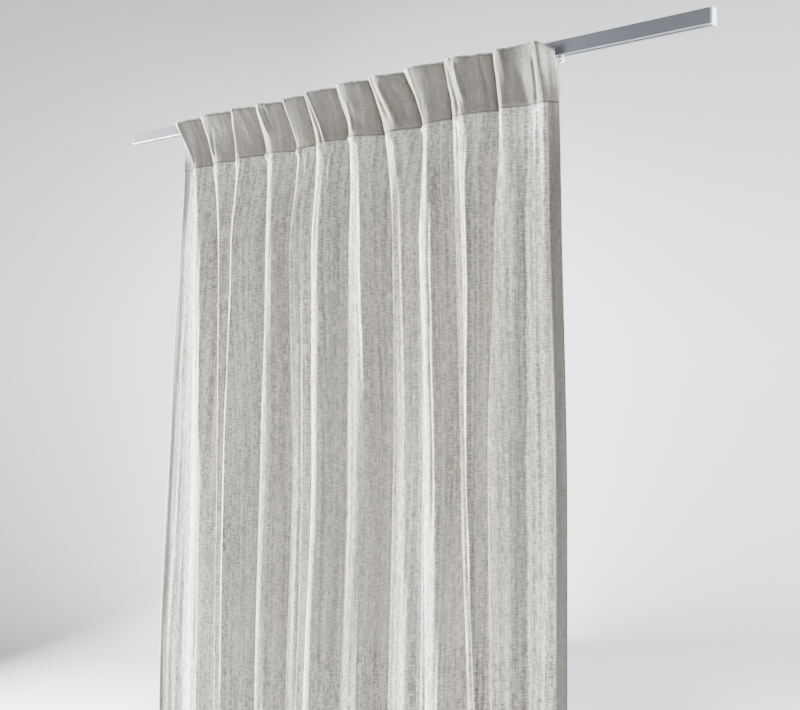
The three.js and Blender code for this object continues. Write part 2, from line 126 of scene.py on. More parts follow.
# how far each stands out to the front
foldReach = {
    "top": [14, 53, 55, 54, 53, 50, 55, 56, 57, 55, 59, 53, 49, 14],
    "stitch": [15, 30, 27, 30, 26, 23, 30, 28, 30, 26, 31, 33, 30, 15],
    "high": [20, 46, 44, 52, 51, 40, 49, 51, 41, 50, 48, 44, 28, 18],
    "mid": [22, 40, 46, 54, 53, 33, 51, 52, 31, 52, 50, 46, 24, 20],
    "low": [24, 32, 36, 54, 51, 31, 52, 51, 29, 53, 51, 44, 24, 20],
    "hem": [24, 30, 34, 54, 50, 30, 52, 50, 28, 53, 51, 42, 24, 20],
}
# depth of the hollow after each, before it is sized to the cloth
hollowDepth = {
    "top": [4, 19, 20, 18, 19, 17, 20, 20, 20, 19, 18, 3, 1],
    "stitch": [3, 18, 19, 20, 18, 17, 19, 18, 20, 18, 18, 5, 1],
    "high": [6, 30, 38, 40, 36, 24, 36, 38, 24, 38, 32, 12, 2],
    "mid": [8, 20, 24, 46, 34, 20, 38, 40, 20, 42, 26, 14, 3],
    "low": [6, 14, 15, 48, 33, 18, 38, 42, 17, 42, 15, 16, 3],
    "hem": [6, 14, 15, 48, 33, 18, 38, 42, 17, 42, 15, 16, 3],
}
# how far the top edge and the heading's seam run off level
headingRise = {
    "top": [-6, -4, 1, 0, -1, -3, -1, 1, 1, 1, 3, 1, 2, -4],
    "stitch": [-8, -8, -4, -3, 0, -3, 2, 4, 0, 3, 8, 8, 6, 4],
}
# share of the way to the next fold that each broad front takes, in the heading and the body
crestShare = {
    "head": [0.2, 0.24, 0.2, 0.26, 0.2, 0.3, 0.18, 0.3, 0.22, 0.3],
    "body": [0.34, 0.3, 0.1, 0.36, 0.07, 0.28, 0.44, 0.05, 0.42, 0.5],
}
foldCount = len(crestShare["head"])
# one fold from above: along and depth in the heading, along and depth in the body
foldSection = [
    (0.0, 0.5, 0.0, 0.36), (0.2, 0.2, 0.2, 0.14), (1.0, 0.0, 1.0, 0.0),
    (0.52, 0.12, 0.44, 0.1), (0.86, 0.38, 0.58, 0.44), (0.945, 0.6, 0.72, 0.9),
    (0.925, 1.0, 0.82, 1.0), (0.975, 1.0, 0.92, 0.78),
]
# rows of that section, and how its front follows from its breadth in the body
front = {
    "leanRow": 1,
    "crestRow": 2,
    "turnRow": 3,
    "tuckRow": 6,
    "usualShare": 0.3,
    "leastLean": 0.7,
    "mostLean": 1.6,
    "turnAfter": 0.1,
}
leftReturn = [
    (0.0, 0.0, 0.0, 0.0), (0.25, 0.1, 0.42, 0.8), (0.45, 0.15, 0.62, 1.0), (0.65, 0.15, 0.84, 0.8),
]
lastPanel = [
    (0.0, 2.2, 0.0, 0.7), (0.04, 0.9, 0.05, 0.35), (0.12, 0.2, 0.36, 0.0), (0.3, 0.6, 0.46, 0.08),
    (0.52, 1.0, 0.56, 0.5), (0.76, 0.6, 0.66, 0.75), (0.93, 0.2, 0.92, 0.35),
]
rightReturn = [(0.0, 0.4, 0.0, 0.0), (0.55, 0.0, 0.5, 0.3), (1.0, 0.0, 1.0, 0.0)]


def valueAt(table, z):
    # a smooth curve through each column's values at falling heights, with no overshoot
    zs = list(heights.values())
    rows = np.array([table[name] for name in heights], float)
    if z >= zs[0]:
        return rows[0]
    if z <= zs[-1]:
        return rows[-1]
    slopes = [(rows[i + 1] - rows[i]) / (zs[i + 1] - zs[i]) for i in range(len(zs) - 1)]
    tangents = [slopes[0]]
    for before, after in zip(slopes, slopes[1:]):
        product = before * after
        total = np.where(np.abs(before + after) < 1e-12, 1, before + after)
        tangents.append(np.where(product <= 0, 0, 2 * product / total))
    tangents.append(slopes[-1])
    i = next(k for k in range(len(zs) - 1) if z >= zs[k + 1])
    step = zs[i + 1] - zs[i]
    t = (z - zs[i]) / step
    held = (1 + 2 * t) * (1 - t) ** 2 * rows[i] + t * t * (3 - 2 * t) * rows[i + 1]
    return held + t * (1 - t) ** 2 * step * tangents[i] - t * t * (1 - t) * step * tangents[i + 1]


def smoothStep(t):
    t = np.clip(t, 0, 1)
    return t * t * (3 - 2 * t)


def clothLine(z, depthScale):
    # the middle line at one height, as x, y and fold number
    share = float(smoothStep((z - cloth["fadeEnd"]) / (heights["stitch"] - cloth["fadeEnd"])))
    places, reaches = valueAt(foldPlace, z), valueAt(foldReach, z)
    hollows = valueAt(hollowDepth, z) * depthScale

    def blend(inBody, inHead):
        return inBody + (inHead - inBody) * share

    firstDepth = blend(foldSection[0][3], foldSection[0][1]) * hollows[1]
    points = []
    for i, section in enumerate([leftReturn] + [foldSection] * foldCount + [lastPanel, rightReturn]):
        for row, (headAlong, headDepth, bodyAlong, bodyDepth) in enumerate(section):
            if 1 <= i <= foldCount:
                headFront, bodyFront = crestShare["head"][i - 1], crestShare["body"][i - 1]
                if row <= front["crestRow"]:
                    headAlong, bodyAlong = headAlong * headFront, bodyAlong * bodyFront
                if row == front["leanRow"]:  # broad fronts lean more
                    lean = max(front["leastLean"], bodyFront / front["usualShare"])
                    bodyDepth = bodyDepth * min(front["mostLean"], lean)
                if row == front["turnRow"]:  # the turn always follows the crest
                    bodyAlong = bodyFront + front["turnAfter"]
            along = blend(bodyAlong, headAlong)
            depth = blend(bodyDepth, headDepth) * hollows[i] + (firstDepth * along if i == 0 else 0)
            x = places[i] + (places[i + 1] - places[i]) * along
            y = depth - (reaches[i] + (reaches[i + 1] - reaches[i]) * along)
            points.append((x, y, i + along))
    return np.array(points)


def stepLengths(points):
    return np.hypot(*np.diff(points[:, :2], axis=0).T)


def sizedLine(z):
    # the line whose hollows are so deep that it is as long as the cloth is wide
    low, high = cloth["depthLow"], cloth["depthHigh"]
    for _ in range(cloth["halvings"]):
        middle = (low + high) / 2
        if stepLengths(clothLine(z, middle)).sum() < cloth["width"]:
            low = middle
        else:
            high = middle
    return clothLine(z, low)


def roundedLine(points):
    # a smooth curve through the line's points, and which of them each new point comes after
    lengths = stepLengths(points)
    fine, owner = [], []
    count = len(points)
    for i in range(count - 1):
        p0 = points[i - 1] if i > 0 else 2 * points[0] - points[1]
        p1, p2 = points[i], points[i + 1]
        p3 = points[i + 2] if i + 2 < count else 2 * points[-1] - points[-2]
        k0 = (lengths[i - 1] if i > 0 else lengths[i]) ** 0.5
        k1 = lengths[i] ** 0.5
        k2 = (lengths[i + 1] if i + 1 < count - 1 else lengths[i]) ** 0.5
        m1 = (p2 - p1) + k1 * ((p1 - p0) / k0 - (p2 - p0) / (k0 + k1))
        m2 = (p2 - p1) + k1 * ((p3 - p2) / k2 - (p3 - p1) / (k1 + k2))
        for step in range(cloth["curveSteps"]):
            t = step / cloth["curveSteps"]
            fine.append((2 * t ** 3 - 3 * t * t + 1) * p1 + (t ** 3 - 2 * t * t + t) * m1
                        + (3 * t * t - 2 * t ** 3) * p2 + (t ** 3 - t * t) * m2)
            owner.append(i + t)
    fine.append(points[-1])
    owner.append(count - 1)
    return np.array(fine), np.array(owner)


# Anchors keep the mesh's columns on the folds: each fold's leading edge and the bottom of its tuck.
def anchorIndexes():
    found = [0]
    start = len(leftReturn)
    for _ in range(foldCount):
        found += [start, start + front["tuckRow"]]
        start += len(foldSection)
    corner = start + len(lastPanel)
    return found + [start, corner, corner + len(rightReturn) - 1]


def measuredLine(z):
    # the smooth line at one height, how far along it each point lies, and each anchor
    fine, owner = roundedLine(sizedLine(z))
    run = np.concatenate([[0], np.cumsum(stepLengths(fine))])
    return fine, run, [run[np.searchsorted(owner, a)] for a in anchorIndexes()]


def columnsPerAnchor():
    # about one column for each step of cloth, as the average at four heights
    measured = (cloth["midHeading"], heights["stitch"], heights["high"], heights["low"])
    spans = np.mean([np.diff(measuredLine(z)[2]) for z in measured], axis=0)
    return np.maximum(cloth["leastColumns"], np.round(spans / cloth["columnStep"]).astype(int))


columnCounts = columnsPerAnchor()
print("cloth columns:", int(columnCounts.sum()) + 1)


def rowPoints(z):
    # one row of the front layer: x, y, fold number, place along the cloth and the way it faces
    fine, run, stops = measuredLine(z)
    spans = zip(stops, stops[1:], columnCounts)
    s = np.concatenate([*(np.linspace(a, b, n, endpoint=False) for a, b, n in spans), [stops[-1]]])
    x, y, fold = (np.interp(s, run, fine[:, k]) for k in range(3))
    before = np.clip(s - cloth["facingSpan"], 0, run[-1])
    after = np.clip(s + cloth["facingSpan"], 0, run[-1])
    dx, dy = (np.interp(after, run, line) - np.interp(before, run, line) for line in fine.T[:2])
    size = np.hypot(dx, dy)
    return x, y, fold, s * cloth["width"] / run[-1], dy / size, -dx / size


# even noise for the crinkles and the frayed edge, one layer to each use
noiseLayer = {
    "narrow": 0, "fine": 1, "broad": 2, "heading": 3, "fray": 4, "fineFray": 5, "wander": 6,
}
noiseSize, noiseSeed = 512, 11
noiseGrid = np.random.default_rng(noiseSeed).random((len(noiseLayer), noiseSize, noiseSize))


def softNoise(u, v, use):
    # from -1 to 1, one bump to a unit
    across, down = np.floor(u).astype(int), np.floor(v).astype(int)
    shareAcross, shareDown = smoothStep(u - across), smoothStep(v - down)
    grid = noiseGrid[noiseLayer[use]]
    left, right = across % noiseSize, (across + 1) % noiseSize
    upper, lower = down % noiseSize, (down + 1) % noiseSize
    above = grid[left, upper] + (grid[right, upper] - grid[left, upper]) * shareAcross
    below = grid[left, lower] + (grid[right, lower] - grid[left, lower]) * shareAcross
    return 2 * (above * (1 - shareDown) + below * shareDown) - 1


# Crinkles, in mm: height, width and length. They drift by one width for each "sidle" of drop, and by
# one length for each "slip" of width.
crinkles = [
    {"noise": "narrow", "height": 0.75, "wide": 8, "long": 260, "sidle": math.inf, "slip": math.inf},
    {"noise": "fine", "height": 0.45, "wide": 4.5, "long": 120, "sidle": math.inf, "slip": 40},
    {"noise": "broad", "height": 1.0, "wide": 21, "long": 420, "sidle": 900, "slip": math.inf},
]
# Creases, as soft ridges or troughs: fold number at the top and at the bottom, first and last drop,
# width, and height, which is below nought for a trough. Drops, widths and heights are in mm.
creases = [
    # in the heading, beside the crests
    {"fold": (1.22, 1.12), "drop": (0, 96), "width": 5, "height": 2.7},
    {"fold": (2.16, 2.22), "drop": (8, 90), "width": 4, "height": 2.2},
    {"fold": (2.34, 2.2), "drop": (30, 100), "width": 5, "height": -2.1},
    {"fold": (3.2, 3.16), "drop": (0, 95), "width": 6, "height": 1.8},
    {"fold": (4.18, 4.3), "drop": (4, 60), "width": 4, "height": 2.7},
    {"fold": (4.36, 4.44), "drop": (10, 50), "width": 5, "height": -2.0},
    {"fold": (5.2, 5.1), "drop": (0, 92), "width": 4, "height": 2.2},
    {"fold": (6.1, 6.3), "drop": (0, 104), "width": 4, "height": -3.3},
    {"fold": (6.2, 6.42), "drop": (0, 108), "width": 5, "height": 3.0},
    {"fold": (7.24, 7.2), "drop": (36, 84), "width": 5, "height": 2.1},
    {"fold": (8.12, 8.26), "drop": (0, 70), "width": 6, "height": -3.0},
    {"fold": (8.3, 8.44), "drop": (18, 92), "width": 8, "height": 2.5},
    {"fold": (8.62, 8.7), "drop": (20, 74), "width": 9, "height": -2.0},
    {"fold": (9.2, 9.14), "drop": (0, 95), "width": 4, "height": 2.0},
    {"fold": (10.1, 10.24), "drop": (8, 96), "width": 5, "height": -3.3},
    {"fold": (10.26, 10.36), "drop": (12, 70), "width": 6, "height": 3.3},
    {"fold": (10.74, 10.82), "drop": (6, 98), "width": 5, "height": -2.4},
    {"fold": (11.2, 11.26), "drop": (0, 50), "width": 7, "height": 1.8},
    {"fold": (11.5, 11.62), "drop": (40, 100), "width": 8, "height": -1.8},
    {"fold": (11.86, 11.8), "drop": (20, 100), "width": 4, "height": -2.4},
    # in the body, down from the heading
    {"fold": (1.5, 1.3), "drop": (96, 700), "width": 7, "height": 2.4},
    {"fold": (1.66, 1.62), "drop": (100, 2499), "width": 6, "height": -2.2},
    {"fold": (2.5, 2.6), "drop": (96, 900), "width": 5, "height": -2.7},
    {"fold": (3.5, 3.36), "drop": (140, 2499), "width": 5, "height": -2.1},
    {"fold": (4.52, 4.46), "drop": (110, 1200), "width": 5, "height": -2.7},
    {"fold": (4.62, 4.6), "drop": (400, 2499), "width": 5, "height": 2.7},
    {"fold": (5.4, 5.5), "drop": (100, 1500), "width": 6, "height": -3.0},
    {"fold": (5.56, 5.62), "drop": (200, 2499), "width": 5, "height": 2.4},
    {"fold": (6.5, 6.32), "drop": (98, 520), "width": 6, "height": 3.3},
    {"fold": (6.44, 6.52), "drop": (300, 2200), "width": 7, "height": -2.1},
    {"fold": (7.34, 7.44), "drop": (100, 560), "width": 6, "height": 3.0},
    {"fold": (7.5, 7.52), "drop": (160, 2499), "width": 6, "height": -3.0},
    {"fold": (7.64, 7.6), "drop": (100, 1400), "width": 5, "height": 2.2},
    {"fold": (8.32, 8.5), "drop": (96, 620), "width": 9, "height": 3.9},
    {"fold": (8.44, 8.58), "drop": (110, 900), "width": 8, "height": -3.3},
    {"fold": (8.7, 8.68), "drop": (300, 2499), "width": 5, "height": -2.4},
    {"fold": (9.4, 9.34), "drop": (96, 800), "width": 5, "height": -2.4},
    {"fold": (9.56, 9.48), "drop": (110, 2499), "width": 4, "height": -3.0},
    {"fold": (9.64, 9.6), "drop": (240, 1900), "width": 5, "height": 2.7},
    {"fold": (10.2, 10.34), "drop": (98, 1500), "width": 4, "height": -3.3},
    {"fold": (10.42, 10.5), "drop": (104, 2499), "width": 5, "height": 3.0},
    {"fold": (10.52, 10.58), "drop": (98, 1700), "width": 4, "height": -3.3},
    {"fold": (11.0, 11.0), "drop": (92, 420), "width": 4, "height": -2.7},
    {"fold": (11.36, 11.3), "drop": (100, 1100), "width": 9, "height": -2.1},
    {"fold": (11.6, 11.66), "drop": (130, 2200), "width": 3.5, "height": -3.9},
    {"fold": (11.52, 11.58), "drop": (180, 1000), "width": 4, "height": -2.4},
    {"fold": (11.8, 11.86), "drop": (100, 2499), "width": 4, "height": 2.2},
]
# Puckers where the tucks are sewn under the heading: fold number, drop, half sizes and height.
puckers = [
    {"fold": 1.1, "drop": 104, "across": 5, "down": 6, "height": 3.5},
    {"fold": 2.1, "drop": 112, "across": 4, "down": 8, "height": 3.2},
    {"fold": 3.12, "drop": 104, "across": 5, "down": 6, "height": 3.2},
    {"fold": 4.06, "drop": 100, "across": 6, "down": 5, "height": 5.4},
    {"fold": 4.3, "drop": 112, "across": 6, "down": 4, "height": 4.2},
    {"fold": 5.12, "drop": 101, "across": 6, "down": 6, "height": 5.4},
    {"fold": 6.2, "drop": 106, "across": 7, "down": 6, "height": 4.2},
    {"fold": 7.04, "drop": 98, "across": 6, "down": 5, "height": 4.2},
    {"fold": 7.26, "drop": 103, "across": 8, "down": 4, "height": 5.4},
    {"fold": 8.22, "drop": 104, "across": 8, "down": 6, "height": 3.8},
    {"fold": 9.1, "drop": 104, "across": 8, "down": 5, "height": 5.1},
    {"fold": 9.34, "drop": 106, "across": 6, "down": 6, "height": 4.5},
    {"fold": 10.16, "drop": 103, "across": 7, "down": 6, "height": 4.8},
    {"fold": 10.36, "drop": 108, "across": 5, "down": 5, "height": 3.8},
]
# how the relief is put together, in mm
relief = {
    "calmEnd": 80,  # the heading is calm down to here, and less so over the next 60
    "calmFade": 60,
    "calmShare": 0.5,  # share of the crinkles that the heading keeps flat
    "ripple": {"height": 0.9, "wide": 18, "long": 22},  # the heading's own
    "creaseEnds": 8,  # a crease starts and stops this far past its drops
    "creaseReach": 12,
    "creaseFade": 60,  # it fades in and out over this, or over a share of a short one
    "creaseFadeShare": 0.25,
    "wander": {"height": 2.0, "long": 70, "apart": 7},  # how a crease strays to its sides
    "puckerReach": 3,  # in half sizes
    "seam": {"depth": 1.1, "half": 2.2},
}


def reliefAt(s, drop, fold):
    # how far the cloth stands off its middle line, in mm, from crinkles, creases and puckers
    calm = 1 - smoothStep((drop - relief["calmEnd"]) / relief["calmFade"])
    crinkle = 0
    for each in crinkles:
        across = s / each["wide"] + drop / each["sidle"]
        down = drop / each["long"] + s / each["slip"]
        crinkle = crinkle + each["height"] * softNoise(across, down, each["noise"])
    ripple, wander, seam = relief["ripple"], relief["wander"], relief["seam"]
    off = crinkle * (1 - relief["calmShare"] * calm)
    rippled = softNoise(s / ripple["wide"], drop / ripple["long"], "heading")
    off = off + calm * ripple["height"] * rippled
    perFold = np.gradient(s, fold)  # mm of cloth to one fold number
    for crease in creases:
        first, last = crease["drop"]
        if not first - relief["creaseReach"] < drop < last + relief["creaseReach"]:
            continue
        share = (drop - first) / (last - first)
        middle = crease["fold"][0] + (crease["fold"][1] - crease["fold"][0]) * share
        end = min(relief["creaseFade"], (last - first) * relief["creaseFadeShare"])
        fade = smoothStep((last + relief["creaseEnds"] - drop) / end)
        if first > 0:  # one that starts at the top edge doesn't fade in
            fade = smoothStep((drop - first + relief["creaseEnds"]) / end) * fade
        stray = softNoise(drop / wander["long"], middle * wander["apart"], "wander")
        away = ((fold - middle) * perFold + wander["height"] * stray) / crease["width"]
        off = off + crease["height"] * fade * np.exp(-2 * away ** 2)
    for pucker in puckers:
        down = (drop - pucker["drop"]) / pucker["down"]
        if abs(down) < relief["puckerReach"]:
            away = (fold - pucker["fold"]) * perFold / pucker["across"]
            off = off + pucker["height"] * np.exp(-away ** 2 - down ** 2)
    return off - seam["depth"] * np.exp(-((drop - headingDeep) / seam["half"]) ** 2)


# how many rows each part of the cut has, and where they start and stop, in mm
rowPlan = {
    "turnedHeading": 18,
    "heading": 21,
    "body": 86,
    "hem": 6,
    "roundTurn": 1.2,  # the first row past a fold line
    "roundSide": 1.0,  # the first column past a side's fold line
    "shortOfLine": 2,  # a turned layer stops this short of its stitches
    "pastSeam": 14,  # the heading's close rows go on past its seam
    "bodyFrom": 8,
    "bodyShort": 6,
}
# the top edge frays: height and width of each kind, and how fast it dies out below, in mm
fray = {"coarse": (0.8, 5), "fine": (0.5, 2), "dies": 3}


def curtainMesh():
    top, hemLine, gap = heights["top"], clothDrop - cloth["bottomHem"], rowPlan["roundTurn"]
    hemColumns = int(round(cloth["sideHem"] / cloth["columnStep"]))
    turned = np.linspace(headingDeep - rowPlan["shortOfLine"], gap, rowPlan["turnedHeading"])
    heading = np.linspace(0, headingDeep + rowPlan["pastSeam"], rowPlan["heading"])
    bodyEnds = heading[-1] + rowPlan["bodyFrom"], hemLine - rowPlan["bodyShort"]
    body = np.linspace(*bodyEnds, rowPlan["body"])
    lower = np.linspace(hemLine, clothDrop, rowPlan["hem"])
    turnedUp = np.linspace(clothDrop - gap, hemLine + rowPlan["shortOfLine"], rowPlan["hem"])
    # each row: how far down it hangs, how far down the cut it is, and whether it is turned over
    rows = [(t, -t, True) for t in turned]
    rows += [(t, t, False) for t in [*heading, *body, *lower]]
    rows += [(t, 2 * clothDrop - t, True) for t in turnedUp]
    hemMarks = np.linspace(cloth["sideHem"], rowPlan["roundSide"], hemColumns)
    inHem = np.ones(hemColumns)
    inSide = np.concatenate([inHem, np.zeros(columnCounts.sum() + 1), inHem])
    verts, cuts = [], []
    for t, cutT, isTurned in rows:
        z = top - t
        x, y, fold, s, nx, ny = rowPoints(z)
        # one row of the cut: left side hem, front, right side hem
        cutS = np.concatenate([-hemMarks, s, cloth["width"] + hemMarks[::-1]])
        flatS = np.concatenate([hemMarks, s, cloth["width"] - hemMarks[::-1]])
        px, py, pnx, pny, pf = (np.interp(flatS, s, values) for values in (x, y, nx, ny, fold))
        # layers lie behind each other: front, side hem, turned hem's side hem, turned hem
        behind = inSide * cloth["hemGap"]
        if isTurned:
            behind = cloth["turnGap"] - behind
        lift = cloth["doubledLift"] if (t < headingDeep or t > hemLine) else 0.0
        off = lift + reliefAt(flatS, t, pf) - behind
        share = min(t / headingDeep, 1)
        fade = min(max((z - cloth["fadeEnd"]) / (heights["stitch"] - cloth["fadeEnd"]), 0), 1)
        riseTop, riseSeam = (np.interp(pf, range(len(line)), line) for line in headingRise.values())
        rise = (1 - share) * riseTop + (share if t <= headingDeep else fade) * riseSeam
        frayed = fray["coarse"][0] * softNoise(flatS / fray["coarse"][1], 0.0, "fray")
        frayed = frayed + fray["fine"][0] * softNoise(flatS / fray["fine"][1], 0.0, "fineFray")
        pz = z + rise + np.exp(-t / fray["dies"]) * frayed
        verts.append(np.stack([px + pnx * off, py + pny * off, pz], axis=1))
        cuts.append(np.stack([cutS, np.full_like(cutS, cutT)], axis=1))
    grid = np.array(verts) * mm
    cut = np.array(cuts) * mm
    rowCount, columnCount = grid.shape[:2]
    index = np.arange(rowCount * columnCount).reshape(rowCount, columnCount)
    corners = [index[:-1, :-1], index[1:, :-1], index[1:, 1:], index[:-1, 1:]]
    faces = np.stack(corners, axis=-1).reshape(-1, 4)
    mesh = bpy.data.meshes.new("curtain")
    mesh.from_pydata(grid.reshape(-1, 3).tolist(), [], faces.tolist())
    cutMap = mesh.uv_layers.new(name="cut")
    loops = np.zeros(len(mesh.loops), dtype=np.int32)
    mesh.loops.foreach_get("vertex_index", loops)
    cutMap.data.foreach_set("uv", cut.reshape(-1, 2)[loops].astype(np.float32).ravel())
    mesh.update()
    for polygon in mesh.polygons:
        polygon.use_smooth = True
    curtain = bpy.data.objects.new("curtain", mesh)
    bpy.context.scene.collection.objects.link(curtain)
    print("curtain:", len(faces) * 2, "triangles", rowCount, "rows", columnCount, "columns")
    return curtain


curtain = curtainMesh()
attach(curtain, "root")
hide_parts("curtain_cloth")

# Linen gauze, plain-woven from slubby yarn and washed: a matt, open cloth with short thick places in
# its threads, thin spots that let light through, and crinkled stripes down it.
gauze = {
    # noise along the threads, in bumps to a metre, with its detail. The threads' bumps are 2.6 mm
    # wide, where real yarn lies 0.7 mm apart: they are drawn that coarse so that they show.
    "across": {"scale": (90, 380, 1), "detail": 2},
    "down": {"scale": (380, 50, 1), "detail": 2},
    "patch": {"scale": (60, 26, 1), "detail": 2},  # thin and thick places, 17 by 38 mm
    "stripe": {"scale": (140, 2.5, 1), "detail": 3},  # crinkles, 7 by 400 mm
    "patchShare": 0.35,
    "stripeShare": 0.8,
    "thin": {"from": 0.9, "to": 1.12, "cover": 0.92},  # where the weave is open, and its cover there
    "middle": 1.58,  # of the summed noises
    "doubledContrast": 0.4,
    "darkest": -0.29,
    "lightest": 0.27,
    "shadeYarn": "#7a7770",
    "lightYarn": "#dad6cd",
    # painted shade: the yarn's colour where the cloth is doubled, darker as less light comes through
    "doubledPaintedShade": "#a29e95",
    "stitches": "#67635d",
    "stitchHalf": 1.4,  # mm
    # painted highlight along the top fold, and its half width
    "topFoldPaintedHighlight": "#f1ede5",
    "topFoldHighlightHalf": 2.5,  # mm
    "doubledFade": 3,  # mm
    "headingFade": 4,  # mm
    "bumpStrength": 0.5,
    "bumpHeight": 1.2,  # mm
    "roughness": 0.9,
    "gloss": 0.2,
    "sheen": 0.1,
    "sheenRoughness": 0.5,
    "through": 0.14,  # share of the light that passes through the yarn
}
linen, tree = newMaterial("linenGauze")
uv = addNode(tree, "ShaderNodeUVMap", {"uv_map": "cut"})
noises = {}
for part in ("across", "down", "patch", "stripe"):
    scaledCut = addNode(tree, "ShaderNodeMapping", {"Scale": gauze[part]["scale"]},
                        {"Vector": uv.outputs[0]})
    noises[part] = addNode(tree, "ShaderNodeTexNoise",
                           {"noise_dimensions": "2D", "Scale": 1, "Detail": gauze[part]["detail"]},
                           {"Vector": scaledCut.outputs[0]})
threads = addNode(tree, "ShaderNodeMath", {"operation": "ADD"},
                  {0: noises["across"].outputs[0], 1: noises["down"].outputs[0]})
patched = addNode(tree, "ShaderNodeMath", {"operation": "MULTIPLY_ADD", 1: gauze["patchShare"]},
                  {0: noises["patch"].outputs[0], 2: threads.outputs[0]})
weave = addNode(tree, "ShaderNodeMath", {"operation": "MULTIPLY_ADD", 1: gauze["stripeShare"]},
                {0: noises["stripe"].outputs[0], 2: patched.outputs[0]})
cover = addNode(tree, "ShaderNodeMapRange",
                {"From Min": gauze["thin"]["from"], "From Max": gauze["thin"]["to"],
                 "To Min": gauze["thin"]["cover"], "To Max": 1.0},
                {"Value": patched.outputs[0]})
# Where the cloth is doubled, in the heading, the side hems and the bottom hem, the weave shows less,
# and its colour is painted darker as painted shade, as less light comes through. Single is 1 off
# those places and 0 on them.
cutPlace = addNode(tree, "ShaderNodeSeparateXYZ", {}, {"Vector": uv.outputs[0]})
fromTop = addNode(tree, "ShaderNodeMath", {"operation": "ABSOLUTE"}, {0: cutPlace.outputs["Y"]})
fromMiddle = addNode(tree, "ShaderNodeMath", {"operation": "SUBTRACT", 1: cloth["width"] / 2 * mm},
                     {0: cutPlace.outputs["X"]})
toSide = addNode(tree, "ShaderNodeMath", {"operation": "ABSOLUTE"}, {0: fromMiddle.outputs[0]})
hemStart, sideStart = clothDrop - cloth["bottomHem"], cloth["width"] / 2 - cloth["sideHem"]
single = None
for distance, first, last, low, high in (
        (fromTop, headingDeep, headingDeep + gauze["headingFade"], 0, 1),
        (fromTop, hemStart - gauze["doubledFade"], hemStart, 1, 0),
        (toSide, sideStart - gauze["doubledFade"], sideStart, 1, 0)):
    ramp = addNode(tree, "ShaderNodeMapRange",
                   {"From Min": first * mm, "From Max": last * mm, "To Min": low, "To Max": high},
                   {"Value": distance.outputs[0]})
    single = ramp if single is None else addNode(tree, "ShaderNodeMath", {"operation": "MULTIPLY"},
                                                 {0: single.outputs[0], 1: ramp.outputs[0]})
centred = addNode(tree, "ShaderNodeMath", {"operation": "SUBTRACT", 1: gauze["middle"]},
                  {0: weave.outputs[0]})
contrast = addNode(tree, "ShaderNodeMapRange", {"To Min": gauze["doubledContrast"], "To Max": 1.0},
                   {"Value": single.outputs[0]})
weighed = addNode(tree, "ShaderNodeMath", {"operation": "MULTIPLY"},
                  {0: centred.outputs[0], 1: contrast.outputs[0]})
tint = addNode(tree, "ShaderNodeMapRange",
               {"From Min": gauze["darkest"], "From Max": gauze["lightest"]},
               {"Value": weighed.outputs[0]})
# the light yarn colour, with painted shade where the cloth is doubled
lightYarn = addNode(tree, "ShaderNodeMix",
                    {"data_type": "RGBA", "A": toLinear(gauze["doubledPaintedShade"]),
                     "B": toLinear(gauze["lightYarn"])},
                    {"Factor": single.outputs[0]})
woven = addNode(tree, "ShaderNodeMix", {"data_type": "RGBA", "A": toLinear(gauze["shadeYarn"])},
                {"Factor": tint.outputs[0], "B": lightYarn.outputs["Result"]})
# the heading's stitched line, then a painted highlight along its top fold
colour = woven
for drop, half, shade in ((headingDeep, gauze["stitchHalf"], gauze["stitches"]),
                          (0, gauze["topFoldHighlightHalf"], gauze["topFoldPaintedHighlight"])):
    near = addNode(tree, "ShaderNodeMath", {"operation": "COMPARE", 1: drop * mm, 2: half * mm},
                   {0: cutPlace.outputs["Y"]})
    colour = addNode(tree, "ShaderNodeMix", {"data_type": "RGBA", "B": toLinear(shade)},
                     {"Factor": near.outputs[0], "A": colour.outputs["Result"]})
bump = addNode(tree, "ShaderNodeBump",
               {"Strength": gauze["bumpStrength"], "Distance": gauze["bumpHeight"] * mm},
               {"Height": threads.outputs[0]})
yarn = addNode(tree, "ShaderNodeBsdfPrincipled",
               {"Roughness": gauze["roughness"], "Sheen Weight": gauze["sheen"],
                "Sheen Roughness": gauze["sheenRoughness"], "Specular IOR Level": gauze["gloss"]},
               {"Base Color": colour.outputs["Result"], "Normal": bump.outputs[0]})
through = addNode(tree, "ShaderNodeBsdfTranslucent", {}, {"Color": colour.outputs["Result"]})
clear = addNode(tree, "ShaderNodeBsdfTransparent", {"Color": (1, 1, 1, 1)})
solidMix = addNode(tree, "ShaderNodeMixShader", {0: gauze["through"]},
                   {1: yarn.outputs[0], 2: through.outputs[0]})
holeMix = addNode(tree, "ShaderNodeMixShader", {},
                  {0: cover.outputs[0], 1: clear.outputs[0], 2: solidMix.outputs[0]})
addNode(tree, "ShaderNodeOutputMaterial", {}, {"Surface": holeMix.outputs[0]})
curtain.data.materials.append(linen)
print("cloth material:", linen.name)

# the hard parts' shared grain: how much smoother and rougher it makes them, and its depth in mm
grainSettings = {"smoother": 0.05, "rougher": 0.06, "detail": 3, "strength": 0.3, "deep": 0.1}


